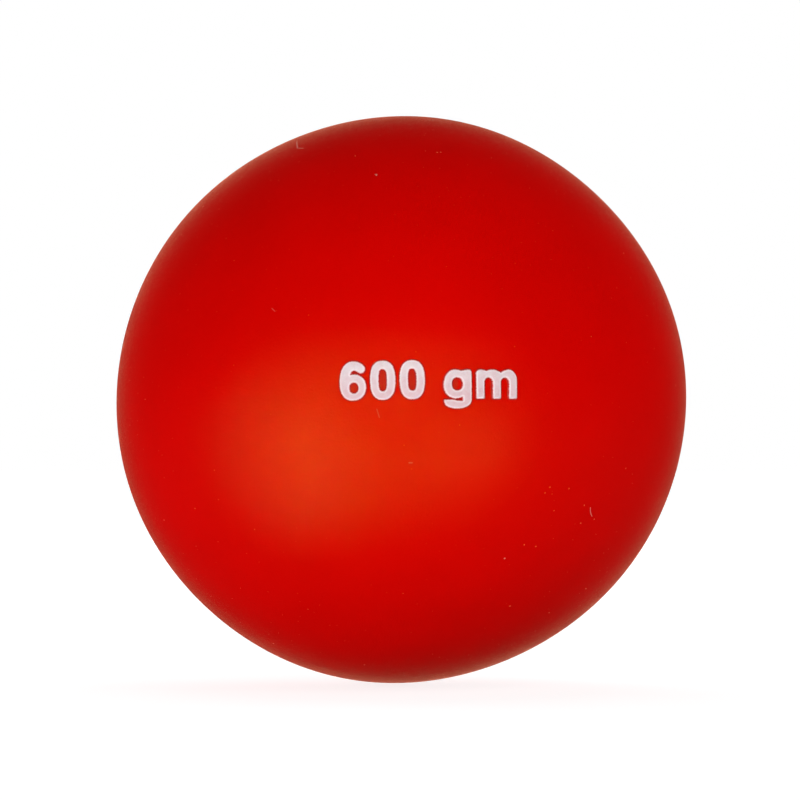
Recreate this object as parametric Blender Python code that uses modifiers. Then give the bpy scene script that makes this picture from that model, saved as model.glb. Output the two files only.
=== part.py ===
"""Javelin training ball of 600 g: a soft vinyl shell with a plugged filling hole, a filling of dry sand,
and its weight in raised white characters. Metres, +Z up, origin at the ball's centre. The mark faces -Y
and the plug +Y."""

import math

import bmesh
import bpy
from mathutils import Vector

# Ball
BALL_DIAMETER = 0.095
SHELL_WALL = 0.005
FIT_GAP = 0.0003  # between any two pieces that bear on each other
SAND_HEADROOM = 0.0155  # air above the level sand

# Filling hole and its plug
HOLE_DIAMETER = 0.010
BOSS_DIAMETER = 0.020
BOSS_DEPTH = 0.003  # how far the boss stands into the cavity, at its edge
PLUG_HEAD_DIAMETER = 0.015
PLUG_HEAD_THICKNESS = 0.0015  # at the edge of the head, below its chamfer
PLUG_BARB_REACH = 0.0008  # how much wider than the hole the barb is, on each side
PLUG_BARB_LENGTH = 0.003
PLUG_TIP_DIAMETER = 0.007
RIM_CHAMFER = 0.0004  # on the edge of the plug's head and on the mouth of its seat
GATE_DIMPLE_DIAMETER = 0.0024
GATE_DIMPLE_DEPTH = 0.0005

# Weight mark, sizes taken along the ball's surface
FIGURE_HEIGHT = 0.0063
ZERO_WIDTH = 0.0041
SIX_WIDTH = 0.0043
SIX_ARM_SLIT = 0.00056  # between the arm of the 6 and its bowl
SIX_TIP_DIP = 0.00046  # how far the tip of the arm hangs below the rest of its lower edge
X_HEIGHT = 0.0047
G_WIDTH = 0.0045
G_TAIL_SLIT = 0.00022  # between the bowl of the g and its tail
G_TAIL_DIP = 0.00017  # how far the slit widens downwards at its closed end
M_WIDTH = 0.0069
ARCH_NOTCH = 0.0005
EAR_NOTCH = 0.0002
STROKE_WIDTH = 0.0014
FOOT_ROUND = 0.00022
LETTER_SPACE = 0.0006
WORD_SPACE = 0.0029
RELIEF = 0.0005  # thickness of the raised characters
MARK_TURN = math.radians(5.4)  # towards +X
MARK_RISE = math.radians(3.9)  # above the equator
MARK_TILT = math.radians(0.7)  # the line of characters climbs to the right

# Fineness of the meshes
TURN_STEPS = 60
OUTER_STEPS = 15  # of a quarter circle
INNER_STEPS = 10
DOME_STEPS = 3  # across the head of the plug
KNOT_STEPS = 5  # between two knots of a character's outline

BALL_RADIUS = BALL_DIAMETER / 2
CAVITY_RADIUS = BALL_RADIUS - SHELL_WALL
HOLE_RADIUS = HOLE_DIAMETER / 2
BOSS_RADIUS = BOSS_DIAMETER / 2
HEAD_RADIUS = PLUG_HEAD_DIAMETER / 2
STEM_RADIUS = HOLE_RADIUS - FIT_GAP
BARB_RADIUS = HOLE_RADIUS + PLUG_BARB_REACH
MERGE_DISTANCE = 0.00001
SHARP_ANGLE = math.radians(35)


def height_at(sphere_radius, radius):
    """Height of a sphere's surface above its centre, at a distance from the axis."""
    return math.sqrt(sphere_radius**2 - radius**2)


# Heights along the plug's axis, from the ball's centre
HEAD_EDGE = height_at(BALL_RADIUS, HEAD_RADIUS - RIM_CHAMFER) - RIM_CHAMFER
HEAD_UNDERSIDE = HEAD_EDGE - PLUG_HEAD_THICKNESS
SEAT_HEIGHT = HEAD_UNDERSIDE - FIT_GAP
BOSS_FACE = height_at(CAVITY_RADIUS, BOSS_RADIUS) - BOSS_DEPTH
BARB_TOP = BOSS_FACE - FIT_GAP
PLUG_END = BARB_TOP - PLUG_BARB_LENGTH


# Collections, materials and helpers


def clear_scene():
    for item in list(bpy.data.objects):
        bpy.data.objects.remove(item, do_unlink=True)


def new_collection(name):
    collection = bpy.data.collections.new(name)
    bpy.context.scene.collection.children.link(collection)
    return collection


def make_material(name, colour, roughness, metallic=0.0):
    material = bpy.data.materials.new(name)
    material.use_nodes = True
    shader = material.node_tree.nodes["Principled BSDF"]
    shader.inputs["Base Color"].default_value = (*colour, 1.0)
    shader.inputs["Roughness"].default_value = roughness
    shader.inputs["Metallic"].default_value = metallic
    material.diffuse_color = (*colour, 1.0)
    return material


def arc(radius, start, end, steps):
    """Points of a circle round the ball's centre, as (distance from the axis, height). Angles are
    measured from the top of the axis."""
    angles = [start + (end - start) * i / steps for i in range(steps + 1)]
    return [(radius * math.sin(a), radius * math.cos(a)) for a in angles]


def sphere_side(radius, rim_radius, steps):
    """The side of a sphere from its rim round a hole at the top, over the equator, to the bottom pole."""
    rim_angle = math.asin(rim_radius / radius)
    upper = arc(radius, rim_angle, math.pi / 2, steps)
    lower = arc(radius, math.pi / 2, math.pi, steps)[1:]
    lower[-1] = (0.0, -radius)
    return upper + lower


def turned_object(name, profile, parent, collection, material):
    """Turns a profile of (distance from the axis, height) round the plug's axis, which runs along +Y."""
    mesh = bpy.data.meshes.new(name)
    points = [(radius, 0.0, height) for radius, height in profile]
    mesh.from_pydata(points, [(i, i + 1) for i in range(len(points) - 1)], [])
    item = bpy.data.objects.new(name, mesh)
    collection.objects.link(item)
    item.parent = parent
    item.rotation_euler = (-math.pi / 2, 0.0, 0.0)
    screw = item.modifiers.new("turn", "SCREW")
    screw.axis = "Z"
    screw.steps = TURN_STEPS
    screw.render_steps = TURN_STEPS
    screw.use_merge_vertices = True
    screw.merge_threshold = MERGE_DISTANCE
    screw.use_smooth_shade = True
    mesh.materials.append(material)
    return item


# Shell, plug and sand


def make_shell(parent, collection, material):
    """One profile goes up the cavity wall, round the boss, through the hole and the seat of the plug's
    head, and down the outside, so the hollow shell is one closed body."""
    seat = HEAD_RADIUS + FIT_GAP
    mouth = seat + RIM_CHAMFER
    cavity_side = sphere_side(CAVITY_RADIUS, BOSS_RADIUS, INNER_STEPS)
    hole = [
        (BOSS_RADIUS, BOSS_FACE),
        (HOLE_RADIUS, BOSS_FACE),
        (HOLE_RADIUS, SEAT_HEIGHT),
        (seat, SEAT_HEIGHT),
        (seat, height_at(BALL_RADIUS, mouth) - RIM_CHAMFER),
    ]
    outside = sphere_side(BALL_RADIUS, mouth, OUTER_STEPS)
    profile = cavity_side[::-1] + hole + outside
    return turned_object("shell", profile, parent, collection, material)


def make_plug(parent, collection, material):
    """A mushroom head that follows the ball's surface, a stem through the hole, and a barb behind the
    boss that tapers to the tip."""
    dimple_angle = math.asin(GATE_DIMPLE_DIAMETER / 2 / BALL_RADIUS)
    edge_angle = math.asin((HEAD_RADIUS - RIM_CHAMFER) / BALL_RADIUS)
    profile = [
        (0.0, BALL_RADIUS - GATE_DIMPLE_DEPTH),
        *arc(BALL_RADIUS, dimple_angle, edge_angle, DOME_STEPS),
        (HEAD_RADIUS, HEAD_EDGE),
        (HEAD_RADIUS, HEAD_UNDERSIDE),
        (STEM_RADIUS, HEAD_UNDERSIDE),
        (STEM_RADIUS, BARB_TOP),
        (BARB_RADIUS, BARB_TOP),
        (PLUG_TIP_DIAMETER / 2, PLUG_END),
        (0.0, PLUG_END),
    ]
    return turned_object("filler_plug", profile, parent, collection, material)


def make_sand(parent, collection, cutters, material):
    """Sand fills the cavity round the boss and the plug, and lies level below the air space."""
    sand_radius = CAVITY_RADIUS - FIT_GAP
    boss_pocket = BOSS_RADIUS + FIT_GAP
    barb_pocket = BARB_RADIUS + FIT_GAP
    profile = [
        (0.0, PLUG_END - FIT_GAP),
        (barb_pocket, PLUG_END - FIT_GAP),
        (barb_pocket, BOSS_FACE - FIT_GAP),
        (boss_pocket, BOSS_FACE - FIT_GAP),
        *sphere_side(sand_radius, boss_pocket, INNER_STEPS),
    ]
    sand = turned_object("sand_fill", profile, parent, collection, material)

    level = CAVITY_RADIUS - SAND_HEADROOM
    bpy.ops.mesh.primitive_cube_add(size=1.0)
    air = bpy.context.object
    air.name = "air_space_cutter"
    air.dimensions = (3 * CAVITY_RADIUS, 3 * CAVITY_RADIUS, 2 * SAND_HEADROOM)
    bpy.ops.object.transform_apply(location=False, rotation=False, scale=True)
    air.location = (0.0, 0.0, level + SAND_HEADROOM)
    air.hide_render = True
    air.display_type = "WIRE"
    for owner in list(air.users_collection):
        owner.objects.unlink(air)
    cutters.objects.link(air)
    air.parent = parent
    cut = sand.modifiers.new("level top", "BOOLEAN")
    cut.operation = "DIFFERENCE"
    cut.object = air
    return sand


# Outlines of the characters: closed loops of knots on a flat sheet, baseline at y = 0


def knot(x, y, heading, reach_in, reach_out=None):
    """A point that the outline passes in a direction (degrees), with the reach of its two handles."""
    return x, y, math.radians(heading), reach_in, reach_in if reach_out is None else reach_out


def oval(x, y, half_width, half_height, fullness):
    up = fullness * half_height
    across = fullness * half_width
    return [
        knot(x + half_width, y, 90, up),
        knot(x, y + half_height, 180, across),
        knot(x - half_width, y, 270, up),
        knot(x, y - half_height, 0, across),
    ]


def stem_foot(left, right):
    """The flat end of a stem on the baseline, with both corners rounded."""
    bend = 0.55 * FOOT_ROUND
    return [
        knot(left, FOOT_ROUND, 270, 0, bend),
        knot(left + FOOT_ROUND, 0, 0, bend, 0),
        knot(right - FOOT_ROUND, 0, 0, 0, bend),
        knot(right, FOOT_ROUND, 90, bend, 0),
    ]


def figure_zero():
    half_width = ZERO_WIDTH / 2
    half_height = FIGURE_HEIGHT / 2
    outer = oval(half_width, half_height, half_width, half_height, 0.68)
    counter = oval(half_width, half_height, half_width - STROKE_WIDTH, half_height - STROKE_WIDTH, 0.74)
    return [outer, counter]


def figure_six():
    w = SIX_WIDTH
    h = FIGURE_HEIGHT
    s = STROKE_WIDTH
    arm_edge = h - 1.1 * s
    bowl = arm_edge - SIX_ARM_SLIT
    tip = arm_edge - SIX_TIP_DIP
    outer = [
        knot(w / 2, 0, 0, 0.33 * w),
        knot(w, 0.54 * bowl, 90, 0.32 * bowl, 0.26 * bowl),
        knot(0.55 * w, bowl, 180, 0.24 * w, 0.1 * w),
        knot(0.41 * w, bowl - 0.05 * s, 150, 0.02 * w, 0),
        knot(0.56 * w, arm_edge, 0, 0.12 * w, 0.1 * w),
        knot(0.8 * w, tip, 0, 0.09 * w, 0.1 * w),
        knot(0.97 * w, tip + 0.11 * h, 90, 0.06 * h, 0.1 * h),
        knot(w / 2, h, 180, 0.26 * w, 0.3 * w),
        knot(0, 0.47 * h, 270, 0.31 * h),
    ]
    counter = oval(0.54 * w, 0.48 * bowl, w / 2 - 1.03 * s, bowl / 2 - 0.9 * s, 0.62)
    return [outer, counter]


def letter_g():
    w = G_WIDTH
    h = X_HEIGHT
    s = STROKE_WIDTH
    stem = w - s
    slit = G_TAIL_SLIT / 2
    tail_edge = -slit - G_TAIL_DIP
    tail = tail_edge - 0.93 * s
    outer = [
        knot(0, 0.47 * h, 270, 0.27 * h, 0.26 * h),
        knot(0.42 * w, slit, 0, 0.22 * w, 0.15 * w),
        knot(stem, slit + 0.2 * s, 20, 0.05 * w, 0),
        knot(stem, -0.1 * s, 270, 0, 0.15 * s),
        knot(0.53 * w, tail_edge, 180, 0.12 * w, 0.08 * w),
        knot(0.35 * w, -slit, 170, 0.05 * w, 0),
        knot(0.05 * w, -slit, 180, 0, 0.1 * s),
        knot(0.02 * w, -0.3 * s, 270, 0.15 * s, 0.45 * s),
        knot(w / 2, tail, 0, 0.3 * w, 0.26 * w),
        knot(0.99 * w, -0.1 * s, 90, 0.62 * s, 0),
        knot(w, h - 0.4 * s, 90, 0, 0.2 * s),
        knot(w - 0.35 * s, h, 180, 0.2 * s, 0.15 * s),
        knot(stem - 0.15 * s, h - EAR_NOTCH, 205, 0.12 * s, 0),
        knot(0.4 * w, h, 180, 0.15 * w, 0.24 * w),
    ]
    counter = oval((s + stem) / 2, (slit + h) / 2, (stem - s) / 2, (h - slit) / 2 - 0.93 * s, 0.62)
    return [outer, counter]


def letter_m():
    w = M_WIDTH
    h = X_HEIGHT
    s = STROKE_WIDTH
    gap = (w - 3 * s) / 2
    second = s + gap
    third = 2 * second
    arch_top = h - 0.95 * s
    spring = arch_top - 0.6 * gap
    bend = 0.33 * gap
    outer = [
        *stem_foot(0, s),
        knot(s, spring, 90, 0, bend),
        knot(s + gap / 2, arch_top, 0, 0.3 * gap),
        knot(second, spring, 270, bend, 0),
        *stem_foot(second, second + s),
        knot(second + s, spring, 90, 0, bend),
        knot(second + s + gap / 2, arch_top, 0, 0.3 * gap),
        knot(third, spring, 270, bend, 0),
        *stem_foot(third, w),
        knot(w, h - 1.1 * s, 90, 0, 0.5 * s),
        knot(w - 0.95 * s, h, 180, 0.45 * s, 0.55 * s),
        knot(second + s, h - ARCH_NOTCH, 215, 0.2 * s, 0),
        knot(second + 0.1 * s, h, 180, 0.4 * s, 0.5 * s),
        knot(s + 0.25 * gap, h - EAR_NOTCH, 205, 0.1 * s, 0),
        knot(0.6 * s, h, 180, 0.2 * s, 0.3 * s),
        knot(0, h - 0.45 * s, 270, 0.3 * s, 0),
    ]
    return [outer]


# Raised characters


def outline_curve(name, loops):
    """A filled flat curve, one spline for the outside and one for each counter."""
    curve = bpy.data.curves.new(name, "CURVE")
    curve.dimensions = "2D"
    curve.fill_mode = "BOTH"
    curve.extrude = RELIEF / 2
    for loop in loops:
        spline = curve.splines.new("BEZIER")
        spline.bezier_points.add(len(loop) - 1)
        spline.use_cyclic_u = True
        spline.resolution_u = KNOT_STEPS
        for point, (x, y, heading, reach_in, reach_out) in zip(spline.bezier_points, loop):
            place = Vector((x, y, 0.0))
            along = Vector((math.cos(heading), math.sin(heading), 0.0))
            point.handle_left_type = "FREE"
            point.handle_right_type = "FREE"
            point.co = place
            point.handle_left = place - reach_in * along
            point.handle_right = place + reach_out * along
    return curve


def wrap_on_ball(mesh, left):
    """Lays a flat mesh on the ball: x runs round it, y up it and z out of it, all as lengths along its
    surface. left is where the character starts, from the middle of the mark."""
    for vertex in mesh.vertices:
        turn = (left + vertex.co.x) / BALL_RADIUS
        rise = (vertex.co.y - FIGURE_HEIGHT / 2) / BALL_RADIUS
        radius = BALL_RADIUS + FIT_GAP + RELIEF / 2 + vertex.co.z
        outward = Vector((math.sin(turn) * math.cos(rise), -math.cos(turn) * math.cos(rise), math.sin(rise)))
        vertex.co = radius * outward


def make_character(name, loops, left, parent, collection, material):
    flat = bpy.data.objects.new(name + "_outline", outline_curve(name, loops))
    collection.objects.link(flat)
    evaluated = flat.evaluated_get(bpy.context.evaluated_depsgraph_get())
    mesh = bpy.data.meshes.new_from_object(evaluated)
    mesh.name = name
    bpy.data.objects.remove(flat, do_unlink=True)
    welded = bmesh.new()
    welded.from_mesh(mesh)
    bmesh.ops.remove_doubles(welded, verts=welded.verts, dist=MERGE_DISTANCE / 10)
    welded.to_mesh(mesh)
    welded.free()
    wrap_on_ball(mesh, left)
    mesh.shade_smooth()
    mesh.set_sharp_from_angle(angle=SHARP_ANGLE)
    mesh.materials.clear()
    mesh.materials.append(material)
    item = bpy.data.objects.new(name, mesh)
    collection.objects.link(item)
    item.parent = parent
    return item


def make_mark(parent, collection, material):
    """The five characters, set side by side about the middle of the mark."""
    axis = bpy.data.objects.new("mark_axis", None)
    collection.objects.link(axis)
    axis.parent = parent
    axis.rotation_mode = "YXZ"
    axis.rotation_euler = (-MARK_RISE, -MARK_TILT, MARK_TURN)
    line = [
        ("figure_6", figure_six(), SIX_WIDTH, LETTER_SPACE),
        ("figure_0_first", figure_zero(), ZERO_WIDTH, LETTER_SPACE),
        ("figure_0_second", figure_zero(), ZERO_WIDTH, WORD_SPACE),
        ("letter_g", letter_g(), G_WIDTH, LETTER_SPACE),
        ("letter_m", letter_m(), M_WIDTH, 0.0),
    ]
    left = -sum(width + space for _, _, width, space in line) / 2
    for name, loops, width, space in line:
        make_character(name, loops, left, axis, collection, material)
        left += width + space


def main():
    clear_scene()
    parts = new_collection("javelin_training_ball")
    cutters = new_collection("cutters")
    centre = bpy.data.objects.new("ball_centre", None)
    parts.objects.link(centre)
    red_vinyl = make_material("red_vinyl", (0.60, 0.006, 0.002), 0.5)
    plug_vinyl = make_material("plug_vinyl", (0.42, 0.008, 0.004), 0.45)
    dry_sand = make_material("dry_sand", (0.55, 0.42, 0.26), 0.95)
    white_paint = make_material("white_paint", (0.82, 0.78, 0.79), 0.55)
    make_shell(centre, parts, red_vinyl)
    make_plug(centre, parts, plug_vinyl)
    make_sand(centre, parts, cutters, dry_sand)
    make_mark(centre, parts, white_paint)


main()
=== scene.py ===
import math

import bmesh
import bpy
import numpy as np
from mathutils import Euler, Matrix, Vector


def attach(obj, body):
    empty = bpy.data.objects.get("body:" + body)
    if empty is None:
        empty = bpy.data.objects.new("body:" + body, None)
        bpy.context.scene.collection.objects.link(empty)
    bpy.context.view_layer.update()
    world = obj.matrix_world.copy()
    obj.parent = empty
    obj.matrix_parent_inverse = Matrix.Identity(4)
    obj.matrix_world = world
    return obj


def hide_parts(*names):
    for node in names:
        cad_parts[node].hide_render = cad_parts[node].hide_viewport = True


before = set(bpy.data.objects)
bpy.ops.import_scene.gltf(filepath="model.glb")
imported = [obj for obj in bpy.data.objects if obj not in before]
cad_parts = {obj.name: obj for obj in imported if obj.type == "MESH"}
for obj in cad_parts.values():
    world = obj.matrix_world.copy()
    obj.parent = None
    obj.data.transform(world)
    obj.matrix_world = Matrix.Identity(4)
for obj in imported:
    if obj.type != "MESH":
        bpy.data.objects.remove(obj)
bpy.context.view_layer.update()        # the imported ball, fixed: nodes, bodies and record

# Javelin training ball of 600 g. Lengths in the dictionaries are in millimetres, angles in degrees.
# The ball's centre is the origin, +Z is up, the weight mark faces -Y and the filler plug +Y.

mm = 0.001
print("frame loaded:", len(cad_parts), "nodes")


# Camera: level with the ball's centre, where the photograph was taken from

view = {
    "distance": 1000.0,
    "sensor": 36.0,
    "framePixels": 800.0,
    "ballRadius": 47.1,       # the radius that fills ballPixels
    "ballPixels": 283.75,
    "ballAcross": 400.83,     # where the ball's centre stands in the frame, from its top left corner
    "ballDown": 399.69,
}


def placeCamera():
    # focal length in pixels = ball's pixels * sqrt(distance^2 - radius^2) / radius, from the limb's tangent
    reach = math.sqrt(view["distance"] ** 2 - view["ballRadius"] ** 2) / view["ballRadius"]
    half = view["framePixels"] / 2
    data = bpy.data.cameras.new("photoCamera")
    data.sensor_width = view["sensor"]
    data.lens = view["ballPixels"] * reach * view["sensor"] / view["framePixels"]
    data.shift_x = (half - view["ballAcross"]) / view["framePixels"]
    data.shift_y = (view["ballDown"] - half) / view["framePixels"]
    data.clip_start = 0.05
    camera = bpy.data.objects.new("photoCamera", data)
    camera.location = (0.0, -view["distance"] * mm, 0.0)
    camera.rotation_euler = (math.pi / 2, 0.0, 0.0)
    bpy.context.scene.collection.objects.link(camera)
    bpy.context.scene.camera = camera


placeCamera()
print("camera placed")


# Shape that the pieces share

ball = {
    "radius": 47.5,           # half of the widest diameter
    "meanRadius": 47.1,       # a soft moulding is never quite round
    # lobes round the Y axis, how high each stands, and where its first one is, from +X
    "swells": [(2, 0.247, 27.7), (3, 0.087, -5.0), (4, 0.088, -6.9), (6, 0.066, 18.9)],
    "wall": 5.0,
    "gap": 0.3,               # between pieces that bear on each other
    "columns": 360,           # round the Y axis
    "frontRows": 104,
    "backRows": 76,
    "seamRows": 18,
    "cavityRows": 30,
    "seamReach": 1.2,         # the strip with fine rows, to each side of the parting line
    "seamHeight": 0.03,       # what is left of the trimmed parting line
    "seamWidth": 0.16,
    "holeRadius": 5.0,
    "bossRadius": 10.0,
    "bossDepth": 3.0,
    "lipRound": 0.4,
    "seatBevel": 0.3,         # in the corner of the plug's seat
    "edgeSteps": 7,           # round the lip and the edge of the plug's head
    "sharpAngle": 35.0,       # edges steeper than this stay sharp
}

plug = {
    "headRadius": 7.5,
    "headThickness": 1.5,     # straight side of the head, below its rounded edge
    "edgeRound": 0.4,
    "barbReach": 0.8,
    "barbLength": 3.0,
    "tipRadius": 3.5,
    "dimpleRadius": 1.2,
    "dimpleDepth": 0.5,
    "lean": 0.5,              # it was pressed in by hand
    "columns": 192,           # round the Y axis
    "dimpleRows": 10,
    "domeRows": 24,
    "colour": (0.46, 0.006, 0.003),
    "deepColour": (0.38, 0.005, 0.002),
    "dust": 0.6,              # how dusty it is against the front
}


def heightOn(radius, away):
    # place of a sphere's surface along its axis, at a distance away from it: sqrt(radius^2 - away^2)
    return math.sqrt(radius ** 2 - away ** 2)


cavityRadius = ball["radius"] - ball["wall"]
headShoulder = heightOn(ball["radius"], plug["headRadius"] - plug["edgeRound"])
headEdge = headShoulder - plug["edgeRound"]
headUnderside = headEdge - plug["headThickness"]
seatFloor = headUnderside - ball["gap"]
seatRadius = plug["headRadius"] + ball["gap"]
bossFace = heightOn(cavityRadius, ball["bossRadius"]) - ball["bossDepth"]
barbTop = bossFace - ball["gap"]
plugEnd = barbTop - plug["barbLength"]


def arcPoints(radius, start, end, steps):
    # circle about the ball's centre as (distance from the axis, place along it); angles from the +Y pole
    turn = np.linspace(start, end, steps + 1)
    points = np.stack([radius * np.sin(turn), radius * np.cos(turn)], 1)
    points[np.abs(points[:, 0]) < 1e-9, 0] = 0.0
    return points


def roundedEdge(first, corner, last, steps):
    # quadratic curve: (1 - t)^2 of the first point, 2 t (1 - t) of the corner and t^2 of the last one
    t = np.linspace(0.0, 1.0, steps + 1)[:, None]
    return (1 - t) ** 2 * np.array(first) + 2 * t * (1 - t) * np.array(corner) + t ** 2 * np.array(last)


def settle(points):
    # moves a point of the perfect ball in to the real one: its radius is the mean radius plus, for each
    # swell, height * (distance from the Y axis)^lobes * cos(lobes * (angle - first)); the move fades out
    # through the wall, so the cavity stays round
    length = np.linalg.norm(points, axis=-1)
    outward = points / np.maximum(length, 1e-9)[..., None]
    flat = outward[..., 0] + 1j * outward[..., 2]
    radius = np.full(length.shape, ball["meanRadius"])
    for lobes, height, first in ball["swells"]:
        radius += height * ((flat * np.exp(-1j * math.radians(first))) ** lobes).real
    share = np.clip((length - cavityRadius) / ball["wall"], 0.0, 1.0)
    return points - outward * ((ball["radius"] - radius) * share)[..., None]


def turnedSurface(profile, columns):
    # a profile of (distance from the axis, place along it) carried round the Y axis in equal turns; its
    # first and last points lie on the axis and close the surface
    turn = np.linspace(0.0, 2 * math.pi, columns, endpoint=False)
    away = profile[1:-1, 0][:, None]
    rings = np.stack([
        away * np.cos(turn),
        np.repeat(profile[1:-1, 1][:, None], columns, 1),
        away * np.sin(turn),
    ], -1)
    rows = len(profile) - 2
    poles = np.array([[0.0, profile[0, 1], 0.0], [0.0, profile[-1, 1], 0.0]])
    points = np.concatenate([rings.reshape(-1, 3), poles])
    here = np.arange(columns)
    after = np.roll(here, -1)
    start = np.arange(rows - 1)[:, None] * columns
    quads = np.stack([start + here, start + after, start + columns + after, start + columns + here], -1)
    last = (rows - 1) * columns
    firstFan = np.stack([np.full(columns, rows * columns), after, here], -1)
    lastFan = np.stack([np.full(columns, rows * columns + 1), last + here, last + after], -1)
    return points, quads.reshape(-1, 4).tolist() + firstFan.tolist() + lastFan.tolist()


def makePiece(name, points, faces, material):
    # one closed mesh in metres, with its faces turned outwards
    mesh = bpy.data.meshes.new(name)
    mesh.from_pydata((points * mm).tolist(), [], faces)
    turned = bmesh.new()
    turned.from_mesh(mesh)
    bmesh.ops.recalc_face_normals(turned, faces=turned.faces)
    turned.to_mesh(mesh)
    turned.free()
    mesh.shade_smooth()
    mesh.set_sharp_from_angle(angle=math.radians(ball["sharpAngle"]))
    mesh.materials.append(material)
    piece = bpy.data.objects.new(name, mesh)
    bpy.context.scene.collection.objects.link(piece)
    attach(piece, "root")
    print(name, "made:", len(mesh.vertices), "points,", len(mesh.polygons), "faces")
    return piece


# Shader helpers

def newNode(tree, kind, inputs=None, **settings):
    # a shader node with its settings made and its named inputs fed
    made = tree.nodes.new("ShaderNode" + kind)
    for name, value in settings.items():
        setattr(made, name, value)
    for name, value in (inputs or {}).items():
        feed(tree, value, made.inputs[name])
    return made


def feed(tree, value, target):
    # a socket is linked, and anything else is the socket's own value
    if isinstance(value, bpy.types.NodeSocket):
        tree.links.new(value, target)
    else:
        target.default_value = value


def calc(tree, operation, *values, clamp=False):
    # one sum, product or other operation on numbers or sockets
    made = newNode(tree, "Math", operation=operation, use_clamp=clamp)
    for place, value in enumerate(values):
        feed(tree, value, made.inputs[place])
    return made.outputs[0]


def vectorCalc(tree, operation, *values, scale=None):
    # the same on vectors; a length, a distance and a dot product come out as one number
    made = newNode(tree, "VectorMath", operation=operation)
    for place, value in enumerate(values):
        feed(tree, value, made.inputs[place])
    if scale is not None:
        feed(tree, scale, made.inputs["Scale"])
    return made.outputs["Value" if operation in ("LENGTH", "DISTANCE", "DOT_PRODUCT") else "Vector"]


def blendColour(tree, share, first, second):
    # first * (1 - share) + second * share
    made = newNode(tree, "Mix", data_type="RGBA")
    feed(tree, share, made.inputs[0])
    feed(tree, first, made.inputs[6])
    feed(tree, second, made.inputs[7])
    return made.outputs[2]


def ramp(tree, value, low, high, toLow=0.0, toHigh=1.0):
    # smooth step from low to high
    made = newNode(tree, "MapRange", interpolation_type="SMOOTHSTEP")
    for place, number in enumerate((value, low, high, toLow, toHigh)):
        feed(tree, number, made.inputs[place])
    return made.outputs[0]


def newGroup(name, inputs, outputs):
    # an empty node group with named sockets, and its own ends of them
    tree = bpy.data.node_groups.new(name, "ShaderNodeTree")
    for label, kind, value in inputs:
        socket = tree.interface.new_socket(name=label, in_out="INPUT", socket_type="NodeSocket" + kind)
        if value is not None:
            socket.default_value = value
    for label, kind in outputs:
        tree.interface.new_socket(name=label, in_out="OUTPUT", socket_type="NodeSocket" + kind)
    return tree, tree.nodes.new("NodeGroupInput").outputs, tree.nodes.new("NodeGroupOutput").inputs


def useGroup(tree, group, **inputs):
    # a group placed in a material with its own values
    made = tree.nodes.new("ShaderNodeGroup")
    made.node_tree = group
    for name, value in inputs.items():
        feed(tree, value, made.inputs[name])
    return made.outputs


def buildGrain():
    # moulded skin: a fine pebble, a broader waviness, slow clouds of tone and grains that glint
    tree, given, out = newGroup(
        "vinylGrain",
        [("Place", "Vector", None), ("Pebble", "Float", 0.3), ("Wave", "Float", 2.2)],
        [("Height", "Float"), ("Cloud", "Float"), ("Fleck", "Float"), ("Glint", "Float")],
    )
    place = vectorCalc(tree, "SCALE", given["Place"], scale=1000.0)
    pebble = newNode(tree, "TexNoise", {"Vector": place, "Detail": 2.5, "Roughness": 0.6})
    feed(tree, calc(tree, "DIVIDE", 1.0, given["Pebble"]), pebble.inputs["Scale"])
    wave = newNode(tree, "TexNoise", {"Vector": place, "Detail": 1.0})
    feed(tree, calc(tree, "DIVIDE", 1.0, given["Wave"]), wave.inputs["Scale"])
    cloud = newNode(tree, "TexNoise", {"Vector": place, "Scale": 0.075, "Detail": 3.0, "Roughness": 0.55})
    glint = newNode(tree, "TexNoise", {"Vector": place, "Scale": 3.2, "Detail": 2.0, "Roughness": 0.7})
    waviness = calc(tree, "MULTIPLY", wave.outputs[0], 0.5)
    feed(tree, calc(tree, "ADD", pebble.outputs[0], waviness), out["Height"])
    feed(tree, cloud.outputs[0], out["Cloud"])
    feed(tree, pebble.outputs[0], out["Fleck"])
    feed(tree, ramp(tree, glint.outputs[0], 0.55, 0.72), out["Glint"])
    return tree


def buildSpecks():
    # dust grains: random points in space, of which only a share is kept, seen where the surface cuts them
    tree, given, out = newGroup(
        "dustSpecks",
        [("Place", "Vector", None), ("Spacing", "Float", 2.0), ("Share", "Float", 0.3),
         ("Size", "Float", 0.15)],
        [("Mask", "Float")],
    )
    scaled = vectorCalc(tree, "SCALE", given["Place"], scale=calc(tree, "DIVIDE", 1000.0, given["Spacing"]))
    cells = newNode(tree, "TexVoronoi", {"Vector": scaled, "Scale": 1.0})
    away = calc(tree, "MULTIPLY", cells.outputs["Distance"], given["Spacing"])
    near = ramp(tree, away, calc(tree, "MULTIPLY", given["Size"], 0.4), given["Size"], 1.0, 0.0)
    chance = newNode(tree, "SeparateColor", {"Color": cells.outputs["Color"]}).outputs[0]
    kept = calc(tree, "LESS_THAN", chance, given["Share"])
    feed(tree, calc(tree, "MULTIPLY", near, kept), out["Mask"])
    return tree


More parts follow.
